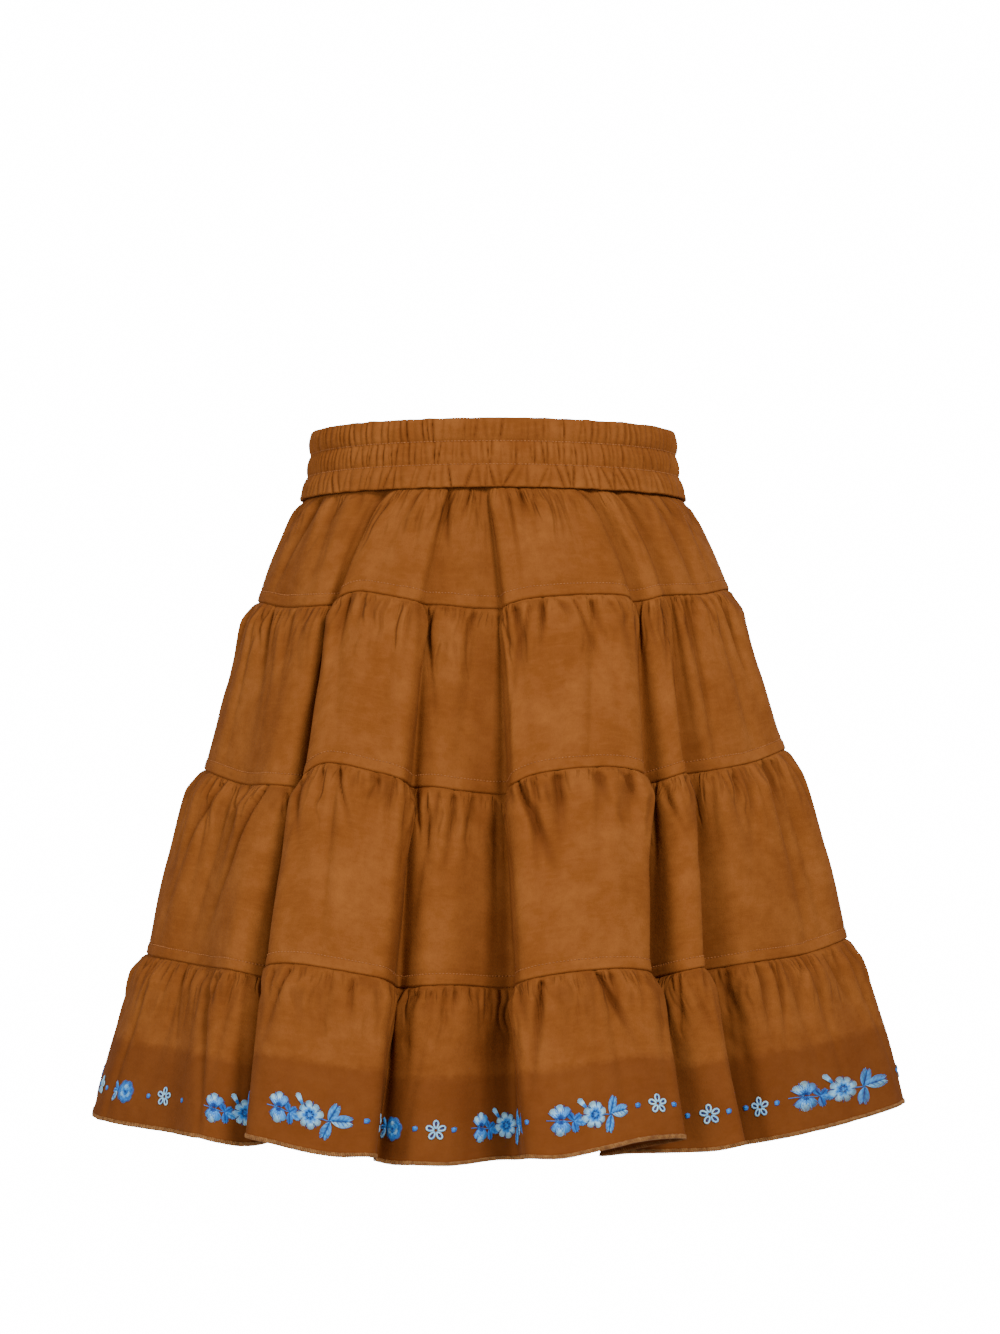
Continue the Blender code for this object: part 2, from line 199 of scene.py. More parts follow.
# The border: how far above the hem it runs, then its motifs from the rose on the left panel to the cluster on
# the right one. For each, the pixel across the photo where it shows and which part of it shows there, in
# millimetres from its centre, and how much wider its left and its right side are than drawn. The motifs with
# no pixel are inside folds and stand between their neighbours. The columns of each row are Motif's fields.
BORDER_ABOVE_HEM = 23.5 * MM
Motif = namedtuple("Motif", "name seen part left right", defaults=(0.0, 1.0, 1.0))
FRONT_BORDER = (
    ("rose", 126), ("dot", 149), ("daisy", 165), ("dot", 182), ("cluster", 214, -22.0), ("dot", None),
    ("daisy", None), ("rose", None), ("cluster", 310, 0.0, 0.92, 0.92), ("dot", 367), ("daisy", None),
    ("rose", 393, 0.0, 0.9, 0.9), ("dot", 415), ("daisy", 436), ("dot", 454),
    ("cluster", 483, -20.0, 0.88, 0.88), ("rose", None), ("dot", 527), ("cluster", 596, 0.0, 1.03, 0.7),
    ("dot", 638), ("daisy", 658, 0.0, 0.95, 0.95), ("dot", 674), ("rose", None), ("dot", 688), ("daisy", 710),
    ("dot", 729), ("daisy", None), ("dot", 746), ("daisy", 760, 0.0, 0.8, 0.8), ("dot", 777),
    ("cluster", 843, 0.0, 1.7, 1.55),
)

# The back repeats this unit: each motif and how many millimetres from the unit's start it is. The first unit
# starts BORDER_START after the front's last motif, and BORDER_CLOSING motifs of one more close the border.
BORDER_REPEAT = 175 * MM
BORDER_UNIT = (
    ("dot", 41.0), ("daisy", 53.5), ("dot", 66.0), ("rose", 89.0), ("dot", 107.0), ("daisy", 120.0), ("dot", 133.0),
    ("cluster", 175.0),
)
BORDER_CLOSING = 3
BORDER_START = 26 * MM
MOTIF_WIDTHS = {"cluster": 61, "rose": 26, "daisy": 12, "dot": 4}

# The sewing: a stitch's pitch, length and radius, the topstitching's sideways wander, the overlock's pitch and
# height, and how far above the hem the cloth is darker.
CHANNEL_STITCH = (2.4 * MM, 1.9 * MM, 0.34 * MM)
TOPSTITCH = (2.3 * MM, 1.6 * MM, 0.40 * MM)
TOPSTITCH_WANDER = 0.3 * MM
OVERLOCK = (1.5 * MM, 2.1 * MM)
HEM_SHADE = 58 * MM

# The looks of the sewing threads: their darker and lighter colour, roughness and sheen.
TOPSTITCH_LOOK = ((0.27, 0.092, 0.020), (0.41, 0.155, 0.042), 0.85, 0.0)
OVERLOCK_LOOK = ((0.22, 0.086, 0.020), (0.42, 0.19, 0.055), 0.6, 0.0)

# The embroidery threads: for each, its darker and its lighter colour.
THREADS = {
    "pale": ((0.16, 0.54, 1.0), (0.50, 0.86, 1.0)),
    "light": ((0.045, 0.31, 0.86), (0.13, 0.50, 1.0)),
    "mid": ((0.012, 0.15, 0.60), (0.04, 0.29, 0.86)),
    "deep": ((0.004, 0.035, 0.24), (0.012, 0.09, 0.44)),
}

# The cloth's dark, middle and light colour.
CLOTH_COLOURS = ((0.140, 0.037, 0.0068), (0.220, 0.067, 0.0132), (0.295, 0.101, 0.0225))

FLOOR_HEIGHT = -1.0
FLOOR_RADIUS = 1.5
CAMERA_PLACE = (0.0048, -2.0, -0.2275)
CAMERA_TARGET = (0.0048, 0.0, -0.1385)
LENS, SENSOR = 78, 36
PHOTO_WIDTH, PHOTO_HEIGHT = 1000, 1334
WORLD_LIGHT = 0.48
WORLD_SEEN = 16.0

# The lamps: name, place, target, width, height, power and colour.
LAMPS = (
    ("key", (1.05, -2.0, 1.2), (0, 0, -0.25), 0.7, 0.7, 54.0, (1.0, 0.97, 0.94)),
    ("fill", (-1.8, -2.0, 0.2), (0, 0, -0.25), 1.4, 1.4, 35.0, (1.0, 0.98, 0.96)),
    ("back", (0.3, 2.4, 1.0), (0, 0, -0.2), 2.0, 1.6, 30.0, (1.0, 1.0, 1.0)),
)


def unit(vectors):
    """The vectors, each at length 1."""
    return vectors / np.linalg.norm(vectors, axis=-1, keepdims=True)


def on_oval(degrees, half_width, front_depth, back_depth, out):
    """Points on an oval with its own depth in front and behind, each moved out along the oval's normal."""
    angle = np.radians(degrees)
    depth = np.where(np.cos(angle) > 0, front_depth, back_depth)
    points = np.stack([half_width * np.sin(angle), -depth * np.cos(angle)], axis=-1)
    normals = np.stack([depth * np.sin(angle), -half_width * np.cos(angle)], axis=-1)
    return points + unit(normals) * np.asarray(out)[..., None]


def of_folds(*fields):
    """These fields of every fold line, as an array each."""
    return [np.array([getattr(fold, field) for fold in FOLDS], float) for field in fields]


def fold_angles(level):
    """The angle of every fold line at one seam."""
    waist, seam, low, hem = of_folds("waist_deg", "seam_deg", "low_deg", "hem_deg")
    return (waist, seam, (seam + low) / 2, low, hem)[level]


def seam_rings():
    """For each seam, the points where the fold lines cross it. The cloth of each tier keeps its slant."""
    out, drop, sag, lift = (lengths * MM for lengths in of_folds("out", "drop", "sag", "lift"))
    rings, hung = [], np.full(len(FOLDS), BAND_TOP - BAND_HEIGHT)
    for level, seam in enumerate(SEAMS):
        sizes = (seam.half_width, seam.front_depth, seam.back_depth)
        flat = on_oval(fold_angles(level), *sizes, out * seam.fold_share)
        if rings:
            run = np.linalg.norm(flat - rings[-1][:, :2], axis=1)
            hung = hung - np.sqrt(np.maximum(seam.slant**2 - run**2, (STEEPEST * seam.slant) ** 2))
        height = hung - drop * seam.drop_share - sag * seam.sag_share + lift * seam.lift_share
        rings.append(np.column_stack([flat, height]))
    return rings


def curve_through(points, segments, fractions):
    """Points on a closed centripetal Catmull-Rom curve, at a fraction of the way along each segment."""
    count = len(points)
    p = [points[(segments + k) % count] for k in (-1, 0, 1, 2)]
    knots = [np.zeros(len(segments))]
    for before, after in zip(p, p[1:]):
        knots.append(knots[-1] + np.sqrt(np.linalg.norm(after - before, axis=1)))
    t = knots[1] + (knots[2] - knots[1]) * fractions

    def between(a, b, low, high):
        share = ((t - low) / (high - low))[:, None]
        return a * (1 - share) + b * share

    first = [between(p[k], p[k + 1], knots[k], knots[k + 1]) for k in range(3)]
    second = [between(first[k], first[k + 1], knots[k], knots[k + 2]) for k in range(2)]
    return between(second[0], second[1], knots[1], knots[2])


def eased(x, places, values):
    """Values between the given ones, with a flat tangent at each place."""
    x = np.asarray(x, float)
    k = np.clip(np.searchsorted(places, x, side="right") - 1, 0, len(places) - 2)
    low, high = np.take(places, k), np.take(places, k + 1)
    share = np.clip((x - low) / (high - low), 0, 1)
    share = share * share * (3 - 2 * share)
    return np.take(values, k) * (1 - share) + np.take(values, k + 1) * share


def smooth_noise(along, length, cell, down, seed):
    """Smooth noise between -1 and 1 that closes round the cloth. Down is in cells, the rest in metres."""
    count = max(4, round(length / cell))
    lattice = np.random.default_rng(seed).uniform(-1, 1, (count, 64))
    across = np.asarray(along) / length * count
    down = np.broadcast_to(down, np.broadcast_shapes(np.shape(across), np.shape(down)))
    across = np.broadcast_to(across, down.shape)
    i, j = np.floor(across).astype(int), np.floor(down).astype(int)
    f, g = across - i, down - j
    f, g = f * f * (3 - 2 * f), g * g * (3 - 2 * g)
    corners = [[lattice[(i + a) % count, (j + b) % 64] for b in (0, 1)] for a in (0, 1)]
    low = corners[0][0] * (1 - f) + corners[1][0] * f
    high = corners[0][1] * (1 - f) + corners[1][1] * f
    return low * (1 - g) + high * g


def level_out(line):
    """The level direction out of the garment at each point of a closed ring."""
    along = np.roll(line, -1, axis=0)[:, :2] - np.roll(line, 1, axis=0)[:, :2]
    return unit(np.stack([along[:, 1], -along[:, 0], np.zeros(len(line))], axis=1))


class Cloth:
    """A closed ring of cloth as a grid of points, measured along the cloth and down it, in metres.

    Its painted shade darkens the colour at each point, from 0 to 1, most in gathers, grooves and deep folds.
    """

    def __init__(self, points, along, length, down, painted_shade):
        self.points, self.along, self.length, self.down = points, along, length, down
        self.painted_shade = np.clip(painted_shade, 0, 1)
        across = np.roll(points, -1, axis=1) - np.roll(points, 1, axis=1)
        self.normals = unit(np.cross(np.gradient(points, axis=0), across))

    def at(self, along, down, out=0.0):
        """The points of the cloth at these measures, moved out by this much."""
        count = len(self.along)
        places = np.append(self.along, self.length)
        column = np.interp(np.mod(along, self.length), places, np.arange(count + 1))
        row = np.interp(down, self.down, np.arange(len(self.down)))
        i = np.minimum(np.floor(row).astype(int), len(self.down) - 2)
        j = np.floor(column).astype(int)
        f, g = (row - i)[..., None], (column - j)[..., None]

        def mixed(grid):
            here, there = j % count, (j + 1) % count
            top = grid[i, here] * (1 - g) + grid[i, there] * g
            low = grid[i + 1, here] * (1 - g) + grid[i + 1, there] * g
            return top * (1 - f) + low * f

        normal = unit(mixed(self.normals))
        return mixed(self.points) + normal * np.asarray(out)[..., None], normal


def ring_places(ring, first, last, spacing):
    """Places evenly spaced along a ring between two fold lines, as segments, fractions and lengths."""
    dense = np.linspace(first, last, (last - first) * 40 + 1)
    segments = np.minimum(dense.astype(int), last - 1)
    line = curve_through(ring, segments, dense - segments)
    run = np.concatenate([[0], np.cumsum(np.linalg.norm(np.diff(line, axis=0), axis=1))])
    count = round(run[-1] / spacing)
    place = np.interp(np.arange(count) * run[-1] / count, run, dense)
    segments = np.minimum(place.astype(int), last - 1)
    return segments, place - segments, np.arange(count) * run[-1] / count, run[-1]


def rows_down(slant):
    """How far down the rows of a tier are: close together at its seam and its foot, wider between."""
    top = np.array([0.0, 0.4, 1.0, 1.8, 2.8, 4.0, 5.5, 7.2, 9.2]) * MM
    foot = slant - np.array([12.0, 10.0, 8.6, 7.9, 7.2, 6.0, 4.5, 3.2, 2.2, 1.4, 0.8, 0.3, 0.0]) * MM
    middle = np.linspace(top[-1], foot[0], round((foot[0] - top[-1]) / (3.1 * MM)) + 1)[1:-1]
    return np.concatenate([top, middle, foot])


def gather_wave(run, gathers, shift):
    """The solids' broad gathers: an uneven wave between -1 and 1 round a ring."""
    turn = 2 * pi * run / run[-1]
    uneven = sum(np.sin(k * turn + shift + 2 * k) / k for k in (5, 9, 16))
    height = 0.8 + 0.2 * np.sin(13 * turn + shift)
    return np.sin(gathers * turn + 2 * uneven) * height


def fine_gathers(along, length, down, tier, seed):
    """Creased troughs that run down from the seam, uneven in place, depth, length and lean, and their painted shade."""
    random = np.random.default_rng(seed)
    field, shade = np.zeros((2, len(down), len(along)))
    v = down[:, None]
    for family in FAMILIES:
        count = round(length / (tier.pitch * family.pitch))
        places = (np.arange(count) + random.uniform(-0.42, 0.42, count)) * length / count
        depths = tier.depth * family.depth * random.lognormal(-0.1, 0.42, count)
        reaches = tier.reach * family.reach * random.lognormal(-0.15, 0.45, count)
        widths = random.uniform(family.narrow, family.wide, count)
        leans = random.normal(0, family.lean, count)
        for place, depth, reach, width, lean in zip(places, depths, reaches, widths, leans):
            gap = np.abs((along[None, :] - place - lean * v + length / 2) % length - length / 2)
            spread = width * (0.7 + 1.1 * v / reach)
            fade = np.exp(-((v / reach) ** 1.7)) * np.minimum(1, 0.15 + v / (7 * MM))
            trough = depth * fade * np.exp(-((gap / spread) ** 1.35))
            field -= trough
            # The troughs' painted shade, deeper where they are deeper.
            shade += trough * family.shade
    ridge = 0.55 * tier.depth * (1 - np.exp(-v / (1.6 * MM))) * np.exp(-((v / (1.3 * tier.reach)) ** 1.5))
    return np.maximum(field, -1.5 * tier.depth) + ridge, np.clip(shade / tier.depth - 0.25, 0, 1) ** 0.8


def deep_share(segments, fractions, start=DEEP_START):
    """How deep inside a fold each column lies, from 0 on the outside to 1."""
    (outs,) = of_folds("out")
    out = outs[segments % len(FOLDS)] * (1 - fractions) + outs[(segments + 1) % len(FOLDS)] * fractions
    return np.clip((-out - start) / DEEP_RANGE, 0, 1)


def tier_cloth(level, tier, rings):
    """The cloth of one tier all round, and the column where its back begins."""
    above, below = rings[level], rings[level + 1]
    slant = SEAMS[level + 1].slant
    front = ring_places(below, 0, BACK_START, tier.spacing)
    back = ring_places(below, BACK_START, len(FOLDS), tier.spacing)
    segments = np.concatenate([front[0], back[0]])
    fractions = np.concatenate([front[1], back[1]])
    along = np.concatenate([front[2], back[2] + front[3]])
    length = front[3] + back[3]
    down = rows_down(slant)
    open_share = 1 - 0.7 * deep_share(segments, fractions)

    seam_line = curve_through(above, segments, fractions)
    run = np.cumsum(np.linalg.norm(seam_line - np.roll(seam_line, 1, axis=0), axis=1))
    wave = gather_wave(run, 2 * tier.gathers, level)
    fine, painted_shade = fine_gathers(along, length, down, tier, 20 + level)
    ripple = 0.7 * MM * smooth_noise(along, length, 17 * MM, down[:, None] / (90 * MM) + 9 * level, 5)
    ripple = ripple + 0.3 * MM * smooth_noise(along, length, 9 * MM, down[:, None] / (30 * MM), 6 + level)

    from_foot = slant - down
    settled = np.ones(len(down)) if level == len(TIERS) - 1 else np.clip(from_foot / (10 * MM), 0, 1)
    tucked = -1.0 * MM * np.exp(-((down / (1.6 * MM)) ** 1.3))
    if level < len(TIERS) - 1:
        allowance = 0.4 * MM * eased(from_foot, (0.0, 1.5 * MM, 7.0 * MM, 8.4 * MM), (0.3, 1.0, 1.0, 0.0))
        stitched = -0.5 * MM * np.exp(-(((from_foot - TOPSTITCH_UP) / (0.9 * MM)) ** 2))
        rolled = -1.0 * MM * np.clip(1 - from_foot / (1.4 * MM), 0, 1) ** 2
        edge = (allowance + stitched + rolled)[:, None]
        pucker = 0.32 * MM * smooth_noise(along, length, 3.1 * MM, 0.5, 40 + level)
        edge = edge + pucker[None, :] * np.exp(-(((from_foot - 6.5 * MM) / (4.5 * MM)) ** 2))[:, None]
    else:
        flutter = 0.9 * MM * smooth_noise(along, length, 11 * MM, 0.5, 50)
        edge = flutter[None, :] * np.clip(1 - from_foot / (16 * MM), 0, 1)[:, None] ** 1.5

    points = np.zeros((len(down), len(along), 3))
    for i, v in enumerate(down):
        share = v / slant
        flare = share + tier.bell * share * (1 - share)
        line = curve_through(above + (below - above) * [flare, flare, share], segments, fractions)
        puff = tier.puff * eased(share, FORM_DOWN, PUFF_SHARE)
        broad = tier.gather * eased(share, FORM_DOWN, GATHER_SHARE) * wave
        uneven = (fine[i] + ripple[i] * min(1, v / (6 * MM))) * settled[i]
        lift = (puff + broad + uneven) * open_share + tucked[i] + edge[i]
        points[i] = line + level_out(line) * lift[:, None]
    # Painted shade inside the deep folds.
    painted_shade = np.maximum(painted_shade, FOLD_PAINTED_SHADE * deep_share(segments, fractions, 0)[None, :])

    # The seam allowance lies inside the cloth above, and is painted in full shade.
    up = unit(curve_through(rings[level - 1], segments, fractions) - seam_line) if level else np.array([[0, 0, 1.0]])
    inside = [seam_line + up * rise - level_out(seam_line) * ALLOWANCE_IN for rise in ALLOWANCE]
    points = np.concatenate([inside, points])
    down = np.concatenate([-np.array(ALLOWANCE), down])
    painted_shade = np.concatenate([np.ones((len(ALLOWANCE), len(along))), painted_shade])
    return Cloth(points, along, length, down, painted_shade), len(front[0])


def grid_faces(rows, columns, start=0):
    """The four-sided faces of a grid of points numbered row by row, facing out for rows that run down."""
    corner = start + np.arange(rows - 1)[:, None] * columns + np.arange(columns - 1)[None, :]
    return np.stack([corner, corner + columns, corner + columns + 1, corner + 1], axis=-1).reshape(-1, 4)


def mesh_object(name, points, faces, material, uv=None, painted_shade=None):
    """A smooth-shaded mesh that rides on the root, with its measures as UVs and its painted shade as an attribute."""
    mesh = bpy.data.meshes.new(name)
    mesh.from_pydata(points.tolist(), [], faces.tolist())
    mesh.shade_smooth()
    mesh.materials.append(material)
    if uv is not None:
        corners = np.zeros(len(mesh.loops), np.int32)
        mesh.loops.foreach_get("vertex_index", corners)
        layer = mesh.uv_layers.new(name="cloth")
        layer.data.foreach_set("uv", uv[corners].astype(np.float32).ravel())
        mesh.attributes.new("painted_shade", "FLOAT", "POINT").data.foreach_set("value", painted_shade.astype(np.float32).ravel())
    piece = bpy.data.objects.new(name, mesh)
    bpy.context.scene.collection.objects.link(piece)
    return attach(piece, "root")


def turned_hem(cloth):
    """The rows that carry a sheet round its raw edge and a little way up inside it."""
    up = np.array([0.0, 0.2, 1.2, 3.0, 6.0]) * MM
    inside, normals = cloth.at(cloth.along[None, :], cloth.down[-1] - up[:, None])
    deep = np.array([0.5, 1.0, 1.1, 1.1, 1.0])[:, None, None] * HEM_THICKNESS
    rows = inside - normals * deep
    rows[0, :, 2] -= 0.35 * MM
    return rows, cloth.down[-1] + np.array([0.5, 1.0, 2.0, 4.0, 7.0]) * MM


class Ribs:
    """The grooves of one elastic channel, at uneven places round it, each with its own lean and depth."""

    def __init__(self, count, lean, seed):
        random = np.random.default_rng(seed)
        self.places = (np.arange(count) + random.uniform(-0.38, 0.38, count)) / count
        self.leans = random.normal(0, lean, count) / count
        self.depths = random.uniform(0.3, 1.3, count)

    def height(self, place, down):
        """From -1 in the grooves to a little over 0 on the ridges, at places from 0 to 1 round the ring."""
        grooves = self.places + self.leans * (down - 0.5)
        order = np.argsort(grooves)
        grooves = np.concatenate([grooves[order] + turn for turn in (-1, 0, 1)])
        depths = np.tile(self.depths[order], 3)
        k = np.searchsorted(grooves, place, side="right") - 1
        share = (place - grooves[k]) / (grooves[k + 1] - grooves[k])
        depth = depths[k] * (1 - share) + depths[k + 1] * share
        return depth * (np.abs(np.sin(pi * share)) ** 0.7 - 0.75)


def band_cloth():
    """The waistband: one strip folded over three rows of elastic, from its inner foot over the top and down."""
    waist = SEAMS[0]
    dense = np.radians(np.linspace(-90, 270, 1441))
    oval = np.stack([waist.half_width * np.sin(dense), -waist.front_depth * np.cos(dense)], axis=1)
    run = np.concatenate([[0], np.cumsum(np.linalg.norm(np.diff(oval, axis=0), axis=1))])
    count = 2 * round(run[-1] / BAND_COLUMN / 2)
    place = np.arange(count) / count
    degrees = np.degrees(np.interp(place * run[-1], run, dense))

    ribs = [Ribs(*channel.ribs) for channel in CHANNELS]
    inner = np.linspace(0.96, 0.05, 16)
    turn = np.radians(np.linspace(-90, 90, 9))[1:-1]
    outer = np.linspace(0.02, 0.985, BAND_ROWS)
    under = np.array([1.0, 1.004, 0.99])
    steps = [(share, -BAND_PADDING, 0.5) for share in inner]
    steps += [(0.02 - 0.02 * np.cos(a), BAND_PADDING / 2 * (np.sin(a) - 1), 0.75) for a in turn]
    steps += [(share, 0.0, 1.0) for share in outer]
    steps += [(share, -in_by, 0.5) for share, in_by in zip(under, (0.6 * MM, 1.8 * MM, 3.4 * MM))]

    rows, down, painted_shade = [], [0.0], []
    edge_wave = 0.45 * MM * smooth_noise(place, 1.0, 1 / 96, 0.5, 61)
    for share, out, rib_share in steps:
        held = min(max(share, 0.0), 1.0)
        index = sum(held > channel.foot for channel in CHANNELS[:-1])
        channel = CHANNELS[index]
        head = CHANNELS[index - 1].foot if index else 0.0
        within = min(max((held - head) / (channel.foot - head), 0.0), 1.0)
        round_off = np.sin(pi * within) ** 0.55 if 0 < within < 1 else 0.0
        if index == 0:
            round_off = max(round_off, 0.55) if within < 0.5 else round_off
        if index == len(CHANNELS) - 1:
            round_off = max(round_off, 0.86) if within > 0.5 else round_off
        rib = ribs[index].height(place, within) * (0.35 + 0.65 * round_off)
        ribbed = rib * channel.depth * rib_share
        # Painted shade, darker in the rib grooves and where each channel narrows at its ends.
        painted_shade.append(-1.6 * rib - 0.2 + 0.7 * (1 - min(1.0, 1.6 * round_off)))
        flare = held**2
        half_width = BAND_TOP_HALF_WIDTH + (waist.half_width + BAND_TUCK - BAND_TOP_HALF_WIDTH) * flare
        half_depth = BAND_TOP_HALF_DEPTH + (waist.front_depth + BAND_TUCK - BAND_TOP_HALF_DEPTH) * flare
        sign = -1 if out <= -BAND_PADDING else 1
        away = channel.bulge * round_off * (1.0 if sign > 0 else 0.0) + out + sign * ribbed
        flat = on_oval(degrees, half_width, half_depth, half_depth, away)
        height = BAND_TOP - share * BAND_HEIGHT + edge_wave * (1.0 if share < 0.05 or share > 0.95 else 0.3)
        rows.append(np.column_stack([flat, height]))
        if len(rows) > 1:
            down.append(down[-1] + float(np.linalg.norm(rows[-1] - rows[-2], axis=1).mean()))
    cloth = Cloth(np.array(rows), place * run[-1], run[-1], np.array(down), np.array(painted_shade))
    seams = [down[len(inner) + len(turn) + int(np.argmin(np.abs(outer - channel.foot)))] for channel in CHANNELS[:-1]]
    return cloth, count // 2, seams


def sheet(name, cloth, first, last, material, down_from_waist, foot=None):
    """One layer of cloth between two columns of a ring, both included, with any rows that follow its foot."""
    picked = np.arange(first, last + 1) % len(cloth.along)
    points, down, painted_shade = cloth.points[:, picked], cloth.down, cloth.painted_shade[:, picked]
    if foot is not None:
        points, down = np.concatenate([points, foot[0][:, picked]]), np.concatenate([down, foot[1]])
        painted_shade = np.concatenate([painted_shade, np.zeros((len(foot[1]), len(picked)))])
    rows, columns = points.shape[:2]
    along = np.where(np.arange(first, last + 1) == len(cloth.along), cloth.length, cloth.along[picked])
    uv = np.stack(np.meshgrid(along, down + down_from_waist), axis=-1).reshape(-1, 2)
    return mesh_object(name, points.reshape(-1, 3), grid_faces(rows, columns), material, uv, painted_shade)


def tubes(paths, normals, half_width, half_height):
    """Threads of four sides along paths of equal numbers of points, as points and faces."""
    count, steps = paths.shape[:2]
    tangents = np.gradient(paths, axis=1)
    sides = unit(np.cross(tangents, normals))
    ups = unit(np.cross(sides, tangents))
    wide = np.broadcast_to(half_width, (count, steps))[..., None]
    high = np.broadcast_to(half_height, (count, steps))[..., None]
    ring = np.stack([paths + sides * wide, paths + ups * high, paths - sides * wide, paths - ups * high], axis=2)
    base = (np.arange(count)[:, None, None] * steps + np.arange(steps - 1)[None, :, None]) * 4
    side = np.arange(4)[None, None, :]
    here, there = base + side, base + (side + 1) % 4
    quads = np.stack([here, here + 4, there + 4, there], axis=-1).reshape(-1, 4)
    starts = np.arange(count)[:, None] * steps * 4 + np.arange(4)[None, :]
    ends = starts + (steps - 1) * 4
    return ring.reshape(-1, 3), np.concatenate([quads, starts, ends[:, ::-1]])


def joined(parts):
    """Several pairs of points and faces as one."""
    offset, points, faces = 0, [], []
    for some_points, some_faces in parts:
        points.append(some_points)
        faces.append(some_faces + offset)
        offset += len(some_points)
    return np.concatenate(points), np.concatenate(faces)


def stitch_line(name, cloth, down, stitch, material, wander=0.0):
    """A line of stitches round the cloth, at one distance down it."""
    pitch, length, radius = stitch
    count = round(cloth.length / pitch)
    centres = np.arange(count) * cloth.length / count
    shares = np.array([-0.5, -0.22, 0.22, 0.5])
    along = centres[:, None] + shares * length
    downs = down + wander * smooth_noise(along, cloth.length, 7 * MM, 0.5, 71)
    points, normals = cloth.at(along, downs, np.array([-0.1 * MM, 0.55 * radius, 0.55 * radius, -0.1 * MM]))
    shape = np.array([0.35, 1.0, 1.0, 0.35]) * radius
    mesh = tubes(points, normals, shape, shape)
    piece = mesh_object(name, *mesh, material)
    return piece


def overlock(name, cloth, pitch, height, material):
    """Slanted stitches over the raw edge at the foot of the cloth, with the line that holds them."""
    count = round(cloth.length / pitch)
    centres = np.arange(count) * cloth.length / count
    foot = cloth.down[-1]
    uneven = np.random.default_rng(8).uniform(-0.4, 0.4, count) * MM
    edge = np.zeros(count)
    ups = np.stack([height + uneven, 0.55 * height + edge, edge, edge, 0.7 * height + uneven], axis=1)
    lean = np.array([-0.9, -0.35, 0.1, 0.25, 0.9]) * pitch
    outs = np.array([0.15, 0.42, 0.3, -1.1, -1.35]) * MM
    points, normals = cloth.at(centres[:, None] + lean, foot - ups, outs)
    points[:, 2:4, 2] -= 0.45 * MM
    turned = normals.copy()
    turned[:, 2:4] = normals[:, 2:4] * [0.5, 0.5, 0] - [0, 0, 1]
    turned[:, 4] = -normals[:, 4]
    over = tubes(points, turned, np.array([0.5, 0.85, 0.85, 0.85, 0.5]) * 0.45 * pitch, 0.24 * MM)
    along = centres[::2, None] + np.array([-0.9, -0.3, 0.3, 0.9]) * pitch
    held, held_normals = cloth.at(along, foot - height * 0.93, np.array([0.1, 0.5, 0.5, 0.1]) * MM)
    line = tubes(held, held_normals, 0.2 * MM, 0.16 * MM)
    piece = mesh_object(name, *joined([over, line]), material)
    return piece


# One embroidery strand: its colour, its course in millimetres from the motif's centre, how high its middle
# stands, and its half-width.
Strand = namedtuple("Strand", "colour course rise half_width")


def turned(points, degrees, centre=(0.0, 0.0)):
    """Points in a plane, turned and then moved."""
    angle = radians(degrees)
    turn = np.array([[np.cos(angle), np.sin(angle)], [-np.sin(angle), np.cos(angle)]])
    return np.asarray(points, float) @ turn + centre


def straight(start, end, steps=3):
    """A straight course from start to end."""
    share = np.linspace(0, 1, steps)[:, None]
    return np.asarray(start) * (1 - share) + np.asarray(end) * share


def stroke(colour, start, end, aim, centre, rise, half_width):
    """One straight strand, turned to aim at so many degrees from the centre."""
    return Strand(colour, turned(straight(start, end), aim, centre), rise, half_width)


def petal(centre, aim, inner, reach, half_width, colour, count=11, rise=0.42, narrow=0.35, half=0.3):
    """Satin strands side by side that fill a petal with a round tip, pointing at aim degrees."""
    for w in np.linspace(-0.94, 0.94, count) * half_width:
        tip = reach - half_width * (1 - np.sqrt(1 - (w / half_width) ** 2))
        yield stroke(colour, (inner, w * narrow), (tip, w), aim, centre, rise, half)


def leaf(base, aim, length, half_width, colour, vein, count=8, lower=None):
    """A leaf of slanted satin strands on both sides of a vein, with side veins and a rim. Lower is the colour
    of the half on its right, where that differs."""
    for side in (-1, 1):
        for k, share in enumerate(np.linspace(0.0, 0.76, count)):
            wide = half_width * np.sin(pi * min(1, share * 0.92 + 0.2)) ** 0.7
            start, end = (share * length, 0.15 * side), (min(share + 0.24, 1) * length, side * wide)
            shade = lower if lower and side < 0 else colour
            yield stroke(shade, start, end, aim, base, 0.4, 0.34)
            if k % 3 == 1:
                short = (start[0] + 0.85 * (end[0] - start[0]), 0.85 * end[1])
                yield stroke("mid", start, short, aim, base, 0.62, 0.24)
            if k % 2 == 0:
                rim = (min(end[0] + 0.1 * length, length), end[1] * 0.86)
                yield stroke("mid", end, rim, aim, base, 0.3, 0.22)
    yield stroke(vein, (-0.1 * length, 0), (0.98 * length, 0), aim, base, 0.66, 0.3)


def stem(points, colour, half_width=0.28):
    """Short overlapping strands along a smooth line through a few points."""
    points = np.asarray(points, float)
    place = np.linspace(0, len(points) - 1, 4 * len(points))
    line = np.stack([eased(place, np.arange(len(points)), points[:, axis]) for axis in (0, 1)], axis=1)
    return [Strand(colour, straight(a, b + 0.35 * (b - a)), 0.34, half_width) for a, b in zip(line, line[1:])]


